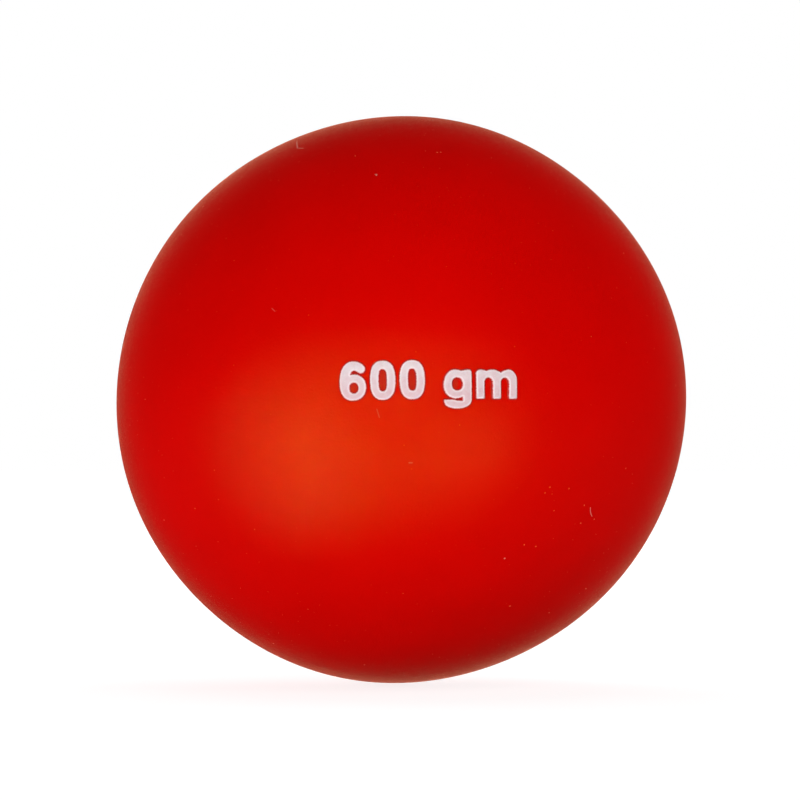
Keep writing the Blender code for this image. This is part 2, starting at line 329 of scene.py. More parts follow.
def buildHair():
    # a thin mark on the surface: distance from the place to a stretch between two points, bowed sideways
    # by 4 t (1 - t) of the bow, where t runs from 0 to 1 along it
    tree, given, out = newGroup(
        "hairMark",
        [("Place", "Vector", None), ("From", "Vector", None), ("To", "Vector", None),
         ("Bow", "Vector", None), ("Width", "Float", 0.12)],
        [("Mask", "Float")],
    )
    place = vectorCalc(tree, "SCALE", given["Place"], scale=1000.0)
    along = vectorCalc(tree, "SUBTRACT", given["To"], given["From"])
    fromStart = vectorCalc(tree, "SUBTRACT", place, given["From"])
    full = vectorCalc(tree, "DOT_PRODUCT", along, along)
    t = calc(tree, "DIVIDE", vectorCalc(tree, "DOT_PRODUCT", fromStart, along), full, clamp=True)
    side = calc(tree, "MULTIPLY", calc(tree, "MULTIPLY", t, 4.0), calc(tree, "SUBTRACT", 1.0, t))
    nearest = vectorCalc(
        tree, "ADD",
        vectorCalc(tree, "SCALE", along, scale=t),
        vectorCalc(tree, "SCALE", given["Bow"], scale=side),
    )
    away = vectorCalc(tree, "DISTANCE", fromStart, nearest)
    core = calc(tree, "MULTIPLY", given["Width"], 0.5)
    feed(tree, ramp(tree, away, core, given["Width"], 1.0, 0.0), out["Mask"])
    return tree


def buildSpot():
    # a round mark: the distance from its centre, in millimetres, against its size
    tree, given, out = newGroup(
        "spotMark",
        [("Place", "Vector", None), ("Centre", "Vector", None), ("Size", "Float", 0.15)],
        [("Mask", "Float")],
    )
    place = vectorCalc(tree, "SCALE", given["Place"], scale=1000.0)
    away = vectorCalc(tree, "DISTANCE", place, given["Centre"])
    core = calc(tree, "MULTIPLY", given["Size"], 0.5)
    feed(tree, ramp(tree, away, core, given["Size"], 1.0, 0.0), out["Mask"])
    return tree


grainGroup = buildGrain()
speckGroup = buildSpecks()
hairGroup = buildHair()
spotGroup = buildSpot()

vinyl = {
    "colour": (0.65, 0.0004, 0.0002),
    "deepColour": (0.62, 0.0003, 0.0001),
    "roughness": 0.22,
    "ior": 1.45,
    "gloss": (1.0, 0.48, 0.02),        # tint of the satin reflection seen straight on
    "glint": 0.4,                      # clear gloss on the grains that glint
    "bloom": 0.6,                      # pale bloom that shows at the rim
    "bloomWidth": 0.19,
    "bloomColour": (1.0, 0.38, 0.22),
    "dust": (0.82, 0.13, 0.02),
    "lint": (0.74, 0.33, 0.27),
    "hollow": (0.5, 0.016, 0.008),     # painted shade on the skin in the counters of the mark
    "grainHeight": 0.07,
    "grainRough": 0.12,                # how much the grain changes the roughness
    "fleck": 0.12,                     # and the tone
    "fleckRed": 1.15,                  # red of its bright flecks against the colour's own
    "dustRough": 0.3,                  # what a grain of dust adds to the roughness
    "dustHeight": 2.0,                 # and to the grain's height
    "speckSize": 0.16,
    "speckShare": 0.2,
    "speckSpacing": 3.0,
    "speckStrength": 0.4,
    "crumbSize": 0.09,
    "crumbShare": 0.5,
    "crumbSpacing": 1.2,
    "crumbStrength": 0.25,
}

# Lint and scuffs on the front, seen from the camera's side: from x, z to x, z, bow, width, strength
hairs = [
    (-17.2, 42.6, -17.0, 41.4, 0.0, 0.13, 0.5),
    (-17.0, 41.4, -16.0, 41.3, 0.0, 0.12, 0.45),
    (30.55, -17.4, 30.85, -18.8, 0.15, 0.1, 0.55),
    (-3.8, -1.5, -3.4, -2.8, 0.0, 0.11, 0.2),
    (1.3, -10.0, 1.8, -10.0, 0.0, 0.14, 0.32),
    (-20.6, 14.6, -20.1, 14.1, 0.0, 0.12, 0.14),
    (16.66, -25.52, 16.7, -25.5, 0.0, 0.16, 1.0),
    (-4.2, 36.4, -3.85, 36.4, 0.0, 0.13, 0.45),
    (-3.98, 36.4, -3.95, 36.2, 0.0, 0.16, 0.55),
]

# Painted shade in the counters of the mark, written the same way
hollows = [
    (-7.48, 2.05, -7.48, 1.6, 0.0, 0.95, 0.9),
    (-7.9, 4.2, -7.1, 4.2, 0.0, 0.4, 0.8),
    (-2.78, 3.95, -2.78, 1.85, 0.0, 0.95, 0.9),
    (1.83, 4.0, 1.83, 1.9, 0.0, 0.95, 0.9),
    (8.5, 3.5, 8.5, 2.4, 0.0, 0.8, 0.7),
]

# Grains of dust on the front: x, z, size, strength
spots = [
    (5.9, 40.1, 0.16, 0.5),
    (-7.4, 39.6, 0.14, 0.4),
    (19.8, -23.3, 0.17, 0.6),
    (21.7, -23.6, 0.17, 0.55),
    (17.7, -33.5, 0.19, 0.5),
    (24.3, -34.9, 0.16, 0.4),
    (23.83, -14.0, 0.2, 0.5),
    (26.93, -14.25, 0.18, 0.4),
    (23.05, -14.9, 0.17, 0.4),
    (24.2, -15.1, 0.14, 0.25),
    (24.56, -17.8, 0.16, 0.35),
    (29.0, -19.9, 0.16, 0.55),
    (31.2, -19.3, 0.15, 0.4),
    (29.5, -17.0, 0.18, 0.35),
    (-33.1, -17.5, 0.15, 0.4),
    (-29.2, -16.0, 0.14, 0.3),
    (2.4, 7.6, 0.14, 0.35),
    (1.7, -11.0, 0.14, 0.25),
]


def onFront(x, z):
    # the point of the front skin, in millimetres, behind x and z
    outward = np.array([x, -math.sqrt(ball["meanRadius"] ** 2 - x * x - z * z), z]) / ball["meanRadius"]
    return Vector(settle(outward * ball["radius"]).tolist())


def newMaterial(name):
    # a material with its shader, and the place on the piece in metres
    material = bpy.data.materials.new(name)
    material.use_nodes = True
    tree = material.node_tree
    shader = tree.nodes["Principled BSDF"]
    place = newNode(tree, "TexCoord").outputs["Object"]
    return material, tree, shader, place


def looseDust(tree, place, kind, dustLevel):
    # mask of the specks or the crumbs * their strength * how dusty the piece is
    grains = useGroup(
        tree, speckGroup, Place=place,
        Spacing=vinyl[kind + "Spacing"], Share=vinyl[kind + "Share"], Size=vinyl[kind + "Size"],
    )
    return calc(tree, "MULTIPLY", grains["Mask"], vinyl[kind + "Strength"] * dustLevel)


def frontLines(tree, place, rows):
    # the strongest of the marks in a list such as hairs, at each place
    line = 0.0
    for x1, z1, x2, z2, bow, width, strength in rows:
        start, end = onFront(x1, z1), onFront(x2, z2)
        across = (end - start).cross(start).normalized() * bow
        hair = useGroup(tree, hairGroup, Place=place, From=start, To=end, Bow=across, Width=width)["Mask"]
        line = calc(tree, "MAXIMUM", line, calc(tree, "MULTIPLY", hair, strength))
    return line


def frontSpots(tree, place, dust):
    # the stronger of the dust so far and each spot
    for x, z, size, strength in spots:
        spot = useGroup(tree, spotGroup, Place=place, Centre=onFront(x, z), Size=size)["Mask"]
        dust = calc(tree, "MAXIMUM", dust, calc(tree, "MULTIPLY", spot, strength))
    return dust


def vinylSurface(tree, place, colour, deepColour, dustLevel=1.0, marked=False):
    # colour, roughness, normal and clear gloss of the moulded vinyl with its dust; marked, also painted
    # shade in the mark's counters
    grain = useGroup(tree, grainGroup, Place=place)
    specks = looseDust(tree, place, "speck", dustLevel)
    crumbs = looseDust(tree, place, "crumb", dustLevel)
    dust = calc(tree, "MAXIMUM", specks, crumbs)
    if marked:
        dust = frontSpots(tree, place, dust)
    cloud = ramp(tree, grain["Cloud"], 0.3, 0.7)
    tone = blendColour(tree, cloud, (*deepColour, 1.0), (*colour, 1.0))
    fleck = ramp(tree, grain["Fleck"], 0.3, 0.75, 0.0, vinyl["fleck"])
    flecked = blendColour(tree, fleck, tone, (colour[0] * vinyl["fleckRed"], colour[1], colour[2], 1.0))
    painted = blendColour(tree, dust, flecked, (*vinyl["dust"], 1.0))
    if marked:
        painted = blendColour(tree, frontLines(tree, place, hairs), painted, (*vinyl["lint"], 1.0))
        # painted shade in the counters of the mark
        painted = blendColour(tree, frontLines(tree, place, hollows), painted, (*vinyl["hollow"], 1.0))
    rough = calc(tree, "MULTIPLY", grain["Fleck"], vinyl["grainRough"])
    rough = calc(tree, "ADD", rough, vinyl["roughness"] - vinyl["grainRough"] / 2)
    rough = calc(tree, "ADD", rough, calc(tree, "MULTIPLY", dust, vinyl["dustRough"]))
    height = calc(tree, "ADD", grain["Height"], calc(tree, "MULTIPLY", dust, vinyl["dustHeight"]))
    bump = newNode(tree, "Bump", {"Height": height, "Strength": 1.0, "Distance": vinyl["grainHeight"] * mm})
    clear = calc(tree, "MULTIPLY", grain["Glint"], vinyl["glint"])
    return painted, rough, bump.outputs[0], clear


def satin(shader, gloss=vinyl["gloss"]):
    # plain values of the satin reflection and of the bloom, which the export keeps
    shader.inputs["IOR"].default_value = vinyl["ior"]
    shader.inputs["Specular Tint"].default_value = (*gloss, 1.0)
    shader.inputs["Sheen Weight"].default_value = vinyl["bloom"]
    shader.inputs["Sheen Roughness"].default_value = vinyl["bloomWidth"]
    shader.inputs["Sheen Tint"].default_value = (*vinyl["bloomColour"], 1.0)
    shader.inputs["Coat Roughness"].default_value = vinyl["roughness"]


def makeVinyl(name, colour, deepColour, dustLevel, marked=False):
    # moulded vinyl of one colour; the marked one has the lint, scuffs and dust of the front and painted
    # shade in the mark's counters
    material, tree, shader, place = newMaterial(name)
    painted, rough, normal, clear = vinylSurface(tree, place, colour, deepColour, dustLevel, marked)
    feed(tree, painted, shader.inputs["Base Color"])
    feed(tree, rough, shader.inputs["Roughness"])
    feed(tree, normal, shader.inputs["Normal"])
    feed(tree, clear, shader.inputs["Coat Weight"])
    satin(shader)
    return material


redVinyl = makeVinyl("redVinyl", vinyl["colour"], vinyl["deepColour"], 1.0, marked=True)
plugVinyl = makeVinyl("plugVinyl", plug["colour"], plug["deepColour"], plug["dust"])
print("vinyl ready")


# Shell

def shellProfile():
    # up the cavity wall, round the boss, through the hole and the plug's seat, over the lip and down the
    # outside to the front pole, with fine rows beside the parting line
    cavityRim = math.asin(ball["bossRadius"] / cavityRadius)
    mouth = seatRadius + ball["lipRound"]
    mouthHeight = heightOn(ball["radius"], mouth)
    lip = roundedEdge(
        (seatRadius, mouthHeight - ball["lipRound"]),
        (seatRadius, heightOn(ball["radius"], seatRadius)),
        (mouth, mouthHeight),
        ball["edgeSteps"],
    )
    mouthAngle = math.asin(mouth / ball["radius"])
    seamAngle = ball["seamReach"] / ball["radius"]
    return np.concatenate([
        arcPoints(cavityRadius, math.pi, cavityRim, ball["cavityRows"]),
        [(ball["bossRadius"], bossFace), (ball["holeRadius"], bossFace)],
        [(ball["holeRadius"], seatFloor), (seatRadius - ball["seatBevel"], seatFloor)],
        [(seatRadius, seatFloor + ball["seatBevel"]), (seatRadius, (seatFloor + mouthHeight) / 2)],
        lip,
        arcPoints(ball["radius"], mouthAngle, math.pi / 2 - seamAngle, ball["backRows"])[1:],
        arcPoints(ball["radius"], math.pi / 2 - seamAngle, math.pi / 2 + seamAngle, ball["seamRows"])[1:],
        arcPoints(ball["radius"], math.pi / 2 + seamAngle, math.pi, ball["frontRows"])[1:],
    ])


def makeShell():
    # the turned profile settled to the real ball, with what is left of the parting line on its outside
    points, faces = turnedSurface(shellProfile(), ball["columns"])
    outside = np.linalg.norm(points, axis=1) > ball["radius"] - 0.01
    points = settle(points)
    # parting line: outwards by its height times exp(-(y / width)^2)
    ridge = outside * ball["seamHeight"] * np.exp(-(points[:, 1] / ball["seamWidth"]) ** 2)
    points *= (1 + ridge / np.linalg.norm(points, axis=1))[:, None]
    shell = makePiece("ballShell", points, faces, redVinyl)
    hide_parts("shell")


makeShell()


# Filler plug

def plugProfile():
    # dimple, dome and rounded edge of the head, then the stem, the barb and the tip; the dimple's depth
    # falls off as half of 1 + cos(pi * distance / its radius)
    domeRadius = plug["headRadius"] - plug["edgeRound"]
    inDimple = np.linspace(0.0, plug["dimpleRadius"], plug["dimpleRows"] + 1)
    onDome = np.linspace(plug["dimpleRadius"], domeRadius, plug["domeRows"] + 1)[1:]
    away = np.concatenate([inDimple, onDome])
    dip = plug["dimpleDepth"] * 0.5 * (1 + np.cos(math.pi * np.minimum(away / plug["dimpleRadius"], 1.0)))
    head = np.stack([away, np.sqrt(ball["radius"] ** 2 - away ** 2) - dip], 1)
    corner = (plug["headRadius"], heightOn(ball["radius"], plug["headRadius"]))
    edge = roundedEdge(head[-1], corner, (plug["headRadius"], headEdge), ball["edgeSteps"])
    stem = ball["holeRadius"] - ball["gap"]
    barb = ball["holeRadius"] + plug["barbReach"]
    return np.concatenate([
        head,
        edge[1:],
        [(plug["headRadius"], headUnderside), (stem, headUnderside), (stem, barbTop), (barb, barbTop)],
        [(plug["tipRadius"], plugEnd), (0.0, plugEnd)],
    ])


def makePlug():
    # the turned profile leaned about the middle of its head: rotation * (point - pivot) + pivot
    points, faces = turnedSurface(plugProfile(), plug["columns"])
    lean = np.array(Euler((math.radians(plug["lean"]), 0.0, math.radians(plug["lean"] / 2))).to_matrix())
    pivot = np.array([0.0, headEdge, 0.0])
    points = settle((points - pivot) @ lean.T + pivot)
    piece = makePiece("fillerPlug", points, faces, plugVinyl)
    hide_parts("filler_plug")


makePlug()


# Weight mark: the outlines are closed loops of knots on a flat sheet, with the baseline at y = 0

mark = {
    "turn": 5.54,             # towards +X
    "rise": 3.9,              # above the equator
    "tilt": 0.7,              # the line climbs to the right
    "figureHeight": 6.3,
    "zeroWidth": 4.1,
    "sixWidth": 4.3,
    "sixArmSlit": 0.56,       # between the arm of the 6 and its bowl
    "sixTipDip": 0.46,        # how far the tip of the arm hangs
    "xHeight": 4.7,
    "gWidth": 4.64,
    "gTailSlit": 0.15,        # between the bowl of the g and its tail
    "gTailDip": 0.17,         # how far the slit widens at its closed end
    "mWidth": 6.9,
    "archNotch": 0.5,
    "earNotch": 0.2,
    "stroke": 1.4,
    "footRound": 0.22,
    "letterSpace": 0.6,
    "lastSpace": 0.7,         # between the g and the m
    "wordSpace": 2.9,
    "relief": 0.38,           # height of the raised tops
    "foot": 0.32,             # how far the shoulder runs out beyond the outline
    "brow": 0.24,             # and in from it
    "sunk": 0.03,             # how far the foot dips under the ball's skin
    "root": 0.16,             # underside, below the skin
    "crown": 0.03,            # how much higher the middle of a stroke is
    "unevenness": 0.008,      # of the moulding
    "step": 0.05,             # spacing of the grid
    "knotSteps": 14,
}


def knot(x, y, heading, reachIn, reachOut=None):
    # a point that the outline passes in a direction, with the reach of its two handles
    return x, y, math.radians(heading), reachIn, reachIn if reachOut is None else reachOut


def oval(x, y, halfWidth, halfHeight, fullness):
    # four knots, at the ends of the two axes; each handle is the fullness * the half axis along it
    up = fullness * halfHeight
    across = fullness * halfWidth
    return [
        knot(x + halfWidth, y, 90, up),
        knot(x, y + halfHeight, 180, across),
        knot(x - halfWidth, y, 270, up),
        knot(x, y - halfHeight, 0, across),
    ]


def stemFoot(left, right):
    # the square end of a stroke, its corners rounded with handles of 0.55 * the radius
    bend = 0.55 * mark["footRound"]
    return [
        knot(left, mark["footRound"], 270, 0, bend),
        knot(left + mark["footRound"], 0, 0, bend, 0),
        knot(right - mark["footRound"], 0, 0, 0, bend),
        knot(right, mark["footRound"], 90, bend, 0),
    ]


def figureZero():
    # an oval, and a counter that is smaller by the stroke all round
    halfWidth = mark["zeroWidth"] / 2
    halfHeight = mark["figureHeight"] / 2
    outer = oval(halfWidth, halfHeight, halfWidth, halfHeight, 0.68)
    counter = oval(halfWidth, halfHeight, halfWidth - mark["stroke"], halfHeight - mark["stroke"], 0.74)
    return [outer, counter]


def figureSix():
    # a bowl up to 1.1 strokes and the slit below the top, an arm that bends over it, and a counter
    w = mark["sixWidth"]
    h = mark["figureHeight"]
    s = mark["stroke"]
    armEdge = h - 1.1 * s
    bowl = armEdge - mark["sixArmSlit"]
    tip = armEdge - mark["sixTipDip"]
    outer = [
        knot(w / 2, 0, 0, 0.33 * w),
        knot(w, 0.54 * bowl, 90, 0.32 * bowl, 0.26 * bowl),
        knot(0.55 * w, bowl, 180, 0.24 * w, 0.1 * w),
        knot(0.41 * w, bowl - 0.05 * s, 150, 0.02 * w, 0),
        knot(0.56 * w, armEdge, 0, 0.12 * w, 0.1 * w),
        knot(0.8 * w, tip, 0, 0.09 * w, 0.1 * w),
        knot(0.97 * w, tip + 0.11 * h, 90, 0.06 * h, 0.1 * h),
        knot(w / 2, h, 180, 0.26 * w, 0.3 * w),
        knot(0, 0.47 * h, 270, 0.31 * h),
    ]
    counter = oval(0.54 * w, 0.48 * bowl, w / 2 - 1.03 * s, bowl / 2 - 0.9 * s, 0.62)
    return [outer, counter]


def letterG():
    # a bowl and its stem with the tail hooked back below the slit, and a counter
    w = mark["gWidth"]
    h = mark["xHeight"]
    s = mark["stroke"]
    stem = w - 1.08 * s
    slit = mark["gTailSlit"] / 2
    tailEdge = -slit - mark["gTailDip"]
    tail = tailEdge - 0.93 * s
    outer = [
        knot(0, 0.47 * h, 270, 0.27 * h, 0.26 * h),
        knot(0.42 * w, slit, 0, 0.22 * w, 0.15 * w),
        knot(stem, slit + 0.2 * s, 20, 0.05 * w, 0),
        knot(stem, -0.1 * s, 270, 0, 0.15 * s),
        knot(0.53 * w, tailEdge, 180, 0.12 * w, 0.08 * w),
        knot(0.35 * w, -slit, 170, 0.05 * w, 0),
        knot(0.05 * w, -slit, 180, 0, 0.1 * s),
        knot(0.02 * w, -0.3 * s, 270, 0.15 * s, 0.45 * s),
        knot(w / 2, tail, 0, 0.3 * w, 0.26 * w),
        knot(0.99 * w, -0.1 * s, 90, 0.62 * s, 0),
        knot(w, h - 0.4 * s, 90, 0, 0.2 * s),
        knot(w - 0.35 * s, h, 180, 0.2 * s, 0.15 * s),
        knot(stem - 0.15 * s, h - mark["earNotch"], 205, 0.12 * s, 0),
        knot(0.4 * w, h, 180, 0.15 * w, 0.24 * w),
    ]
    counter = oval((s + stem) / 2, (slit + h) / 2, (stem - s) / 2, (h - slit) / 2 - 0.93 * s, 0.62)
    return [outer, counter]


def letterM():
    # three feet, two arches between them and the notches where the stem and the middle stroke join
    w = mark["mWidth"]
    h = mark["xHeight"]
    s = mark["stroke"]
    gap = (w - 3 * s) / 2
    second = s + gap
    third = 2 * second
    archTop = h - 0.95 * s
    spring = archTop - 0.6 * gap
    bend = 0.33 * gap
    outer = [
        *stemFoot(0, s),
        knot(s, spring, 90, 0, bend),
        knot(s + gap / 2, archTop, 0, 0.3 * gap),
        knot(second, spring, 270, bend, 0),
        *stemFoot(second, second + s),
        knot(second + s, spring, 90, 0, bend),
        knot(second + s + gap / 2, archTop, 0, 0.3 * gap),
        knot(third, spring, 270, bend, 0),
        *stemFoot(third, w),
        knot(w, h - 1.1 * s, 90, 0, 0.5 * s),
        knot(w - 0.95 * s, h, 180, 0.45 * s, 0.55 * s),
        knot(second + s, h - mark["archNotch"], 215, 0.2 * s, 0),
        knot(second + 0.1 * s, h, 180, 0.4 * s, 0.5 * s),
        knot(s + 0.25 * gap, h - mark["earNotch"], 205, 0.1 * s, 0),
        knot(0.6 * s, h, 180, 0.2 * s, 0.3 * s),
        knot(0, h - 0.45 * s, 270, 0.3 * s, 0),
    ]
    return [outer]


def drawLoop(knots):
    # cubic from each knot to the next: (1-t)^3 P + 3 (1-t)^2 t A + 3 (1-t) t^2 B + t^3 Q, where the
    # handles A and B lie along the two knots' headings
    x, y, heading, reachIn, reachOut = np.array(knots, float).T
    place = np.stack([x, y], 1)
    along = np.stack([np.cos(heading), np.sin(heading)], 1)
    leaving = place + reachOut[:, None] * along
    arriving = np.roll(place - reachIn[:, None] * along, -1, 0)
    t = np.linspace(0.0, 1.0, mark["knotSteps"], endpoint=False)[None, :, None]
    line = (
        (1 - t) ** 3 * place[:, None]
        + 3 * (1 - t) ** 2 * t * leaving[:, None]
        + 3 * (1 - t) * t ** 2 * arriving[:, None]
        + t ** 3 * np.roll(place, -1, 0)[:, None]
    )
    return line.reshape(-1, 2)


def insideDistance(x, y, loops):
    # distance to the nearest stretch of the outline, positive where a line to the right crosses the
    # outline an odd number of times
    nearest = np.full(x.shape, np.inf)
    odd = np.zeros(x.shape, bool)
    for loop in loops:
        for (ax, ay), (bx, by) in zip(loop, np.roll(loop, -1, 0)):
            dx, dy = bx - ax, by - ay
            t = np.clip(((x - ax) * dx + (y - ay) * dy) / max(dx * dx + dy * dy, 1e-12), 0.0, 1.0)
            nearest = np.minimum(nearest, np.hypot(x - ax - t * dx, y - ay - t * dy))
            if ay != by:
                crossing = ax + (y - ay) * dx / dy
                odd ^= ((ay > y) != (by > y)) & (x < crossing)
    return np.where(odd, nearest, -nearest)


def reliefAt(distance, x, y):
    # soft shoulder: 6 s^5 - 15 s^4 + 10 s^3, where s runs from 0 at the foot to 1 at the brow, then a low
    # crown and the unevenness of the moulding, a few crossing waves
    s = np.clip((distance + mark["foot"]) / (mark["foot"] + mark["brow"]), 0.0, 1.0)
    rise = s ** 3 * (6 * s ** 2 - 15 * s + 10)
    crown = mark["crown"] * np.clip(distance / (mark["stroke"] / 2), 0.0, 1.0)
    waves = np.sin(3.1 * x + 1.7 * y) + np.sin(2.3 * y - 4.1 * x + 1.0) + np.sin(5.3 * y + 0.9 * x + 2.0)
    over = crown + mark["unevenness"] * waves
    return -mark["sunk"] + (mark["relief"] + mark["sunk"]) * rise + over * rise


def wrapOnBall(x, y, height):
    # x runs round the ball and y up it as lengths along its surface, height stands out of it
    turn = x / ball["radius"]
    rise = (y - mark["figureHeight"] / 2) / ball["radius"]
    outward = np.stack([np.sin(turn) * np.cos(rise), -np.cos(turn) * np.cos(rise), np.sin(rise)], -1)
    angles = (-math.radians(mark["rise"]), -math.radians(mark["tilt"]), math.radians(mark["turn"]))
    toBall = np.array(Euler(angles, "YXZ").to_matrix())
    outward = outward @ toBall.T
    surface = settle(outward * ball["radius"])
    return surface + outward * height[..., None]


def makeCharacter(name, node, knots, left, material):
    # a grid over the character: its top follows the relief, its underside lies below the ball's skin,
    # and its border is drawn on to the line where the foot ends, so the edge is smooth
    loops = [drawLoop(loop) for loop in knots]
    low = loops[0].min(0) - mark["foot"] - 3 * mark["step"]
    high = loops[0].max(0) + mark["foot"] + 3 * mark["step"]
    x, y = np.meshgrid(np.arange(low[0], high[0], mark["step"]), np.arange(low[1], high[1], mark["step"]))
    distance = insideDistance(x, y, loops)
    slopeY, slopeX = np.gradient(distance, mark["step"])
    inside = distance > -mark["foot"]
    cells = inside[:-1, :-1] | inside[1:, :-1] | inside[:-1, 1:] | inside[1:, 1:]
    framed = np.pad(cells, 1)
    used = framed[:-1, :-1] | framed[1:, :-1] | framed[:-1, 1:] | framed[1:, 1:]
    border = used & ~inside
    move = np.where(border, (-mark["foot"] - distance) / np.maximum(slopeX ** 2 + slopeY ** 2, 0.25), 0.0)
    x = x + move * slopeX
    y = y + move * slopeY
    distance = np.where(border, -mark["foot"], distance)

    number = np.full(used.shape, -1)
    count = int(used.sum())
    number[used] = np.arange(count)
    px, py, pd = x[used], y[used], distance[used]
    top = wrapOnBall(left + px, py, reliefAt(pd, left + px, py))
    bottom = wrapOnBall(left + px, py, np.full(count, -mark["root"]))
    a, b = number[:-1, :-1][cells], number[:-1, 1:][cells]
    c, d = number[1:, 1:][cells], number[1:, :-1][cells]
    topFaces = np.stack([a, b, c, d], 1)
    bottomFaces = topFaces[:, ::-1] + count
    # wall below every edge that only one kept cell touches
    flatEdge = framed[1:, 1:-1] != framed[:-1, 1:-1]
    uprightEdge = framed[1:-1, 1:] != framed[1:-1, :-1]
    first = np.concatenate([number[:, :-1][flatEdge], number[:-1, :][uprightEdge]])
    second = np.concatenate([number[:, 1:][flatEdge], number[1:, :][uprightEdge]])
    walls = np.stack([first, second, second + count, first + count], 1)
    points = np.concatenate([top, bottom])
    faces = np.concatenate([topFaces, bottomFaces, walls]).tolist()

    piece = makePiece(name, points, faces, material)
    edge = piece.data.attributes.new("insideEdge", "FLOAT", "POINT")
    edge.data.foreach_set("value", np.concatenate([pd, np.full(count, -mark["foot"])]).astype(np.float32))
    spot = piece.data.attributes.new("markPlace", "FLOAT_VECTOR", "POINT")
    flat = np.stack([left + px, py, np.zeros(count)], 1)
    spot.data.foreach_set("vector", np.concatenate([flat, flat]).astype(np.float32).ravel())
    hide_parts(node)


paint = {
    "colour": (0.76, 0.67, 0.685),
    "edgeHighlight": (0.92, 0.81, 0.83),        # painted highlight: the paint is lighter along the edge of each stroke, where the edge catches the light
    "wornAndShaded": (0.70, 0.46, 0.49),        # the red shows through where the paint is worn thin, and in the painted shade towards the baseline
    "edgeHighlightWidth": 0.26,
    "lowShade": 0.68,                  # painted shade: how much pinker the paint is at the baseline than at the top
    "roughness": 0.55,
    "edge": 0.03,                      # the paint ends this far inside the outline
    "soft": 0.1,                       # half the width in which it thins out there
    "fray": 0.13,                      # how far its edge wanders
    "frayScale": 4.5,
    "mottle": 0.3,                     # how thin it is worn in patches
    "mottleScale": 1.1,
    "grit": 0.35,                      # and in fine grains
    "gritScale": 5.0,
    "edgeHighlightStrength": 0.75,
    "film": 0.02,                      # unit of the two heights that follow
    "filmCover": 1.5,                  # the paint's skin over the vinyl
    "filmGrit": 0.8,                   # and the grains on it
    "gloss": (1.0, 0.9, 0.85),
    "dust": 0.4,                       # how dusty the characters are against the front
    "footShade": (0.42, 0.012, 0.008),     # painted shade: darker vinyl in the corner at the foot of the strokes
    "footShadeFull": -0.14,                # where it is full, by the distance inside the outline
    "footShadeFades": (-0.08, 0.02),       # and between which two it ends
}


def makeMarkPaint():
    # white paint on the tops and the upper shoulders, red vinyl below and a darker line of painted shade in
    # the corner at the foot; the distance from the outline comes from the mesh
    material, tree, shader, place = newMaterial("markPaint")
    skin = vinylSurface(tree, place, vinyl["colour"], vinyl["deepColour"], paint["dust"])
    red, redRough, redNormal, clear = skin
    edge = newNode(tree, "Attribute", attribute_name="insideEdge").outputs["Fac"]
    spot = newNode(tree, "Attribute", attribute_name="markPlace").outputs["Vector"]
    fray = newNode(tree, "TexNoise", {"Vector": spot, "Scale": paint["frayScale"], "Detail": 2.0}).outputs[0]
    shift = calc(tree, "MULTIPLY", calc(tree, "SUBTRACT", fray, 0.5), 2 * paint["fray"])
    frayed = calc(tree, "ADD", edge, shift)
    cover = ramp(tree, frayed, paint["edge"] - paint["soft"], paint["edge"] + paint["soft"])

    # painted shade in the counters of the mark
    red = blendColour(tree, frontLines(tree, place, hollows), red, (*vinyl["hollow"], 1.0))
    # painted shade: a darker line in the corner at the foot of the strokes
    outer = ramp(tree, edge, -mark["foot"], paint["footShadeFull"])
    corner = calc(tree, "MULTIPLY", outer, ramp(tree, edge, *paint["footShadeFades"], 1.0, 0.0))
    red = blendColour(tree, corner, red, (*paint["footShade"], 1.0))

    mottle = newNode(tree, "TexNoise", {"Vector": spot, "Scale": paint["mottleScale"], "Detail": 3.0})
    grit = newNode(tree, "TexNoise", {"Vector": spot, "Scale": paint["gritScale"], "Detail": 2.0}).outputs[0]
    height = newNode(tree, "SeparateXYZ", {"Vector": spot}).outputs["Y"]
    # painted shade: the paint turns pinker towards the baseline
    low = ramp(tree, height, mark["figureHeight"], 0.0, 0.0, paint["lowShade"])
    worn = ramp(tree, mottle.outputs[0], 0.4, 0.7, 0.0, paint["mottle"])
    rubbed = ramp(tree, grit, 0.45, 0.75, 0.0, paint["grit"])
    wornAndShaded = calc(tree, "ADD", calc(tree, "ADD", worn, rubbed), low, clamp=True)
    # painted highlight along the edge of each stroke
    edgeHighlightStart = paint["edge"] + 0.5 * paint["edgeHighlightWidth"]
    edgeHighlight = ramp(tree, edge, edgeHighlightStart, edgeHighlightStart + paint["edgeHighlightWidth"], 1.0, 0.0)
    flat = blendColour(tree, wornAndShaded, (*paint["colour"], 1.0), (*paint["wornAndShaded"], 1.0))
    edgeHighlightShare = calc(tree, "MULTIPLY", edgeHighlight, paint["edgeHighlightStrength"])
    white = blendColour(tree, edgeHighlightShare, flat, (*paint["edgeHighlight"], 1.0))
    feed(tree, blendColour(tree, cover, red, white), shader.inputs["Base Color"])
    rough = newNode(tree, "Mix", data_type="FLOAT")
    feed(tree, cover, rough.inputs[0])
    feed(tree, redRough, rough.inputs[2])
    feed(tree, paint["roughness"], rough.inputs[3])
    feed(tree, rough.outputs[0], shader.inputs["Roughness"])
    bare = calc(tree, "SUBTRACT", 1.0, cover)
    feed(tree, calc(tree, "MULTIPLY", clear, bare), shader.inputs["Coat Weight"])
    raised = calc(tree, "MULTIPLY", cover, paint["filmCover"])
    film = calc(tree, "ADD", raised, calc(tree, "MULTIPLY", grit, paint["filmGrit"]))
    bump = newNode(tree, "Bump", {"Height": film, "Distance": paint["film"] * mm, "Normal": redNormal})
    feed(tree, bump.outputs[0], shader.inputs["Normal"])
    satin(shader, paint["gloss"])
    return material


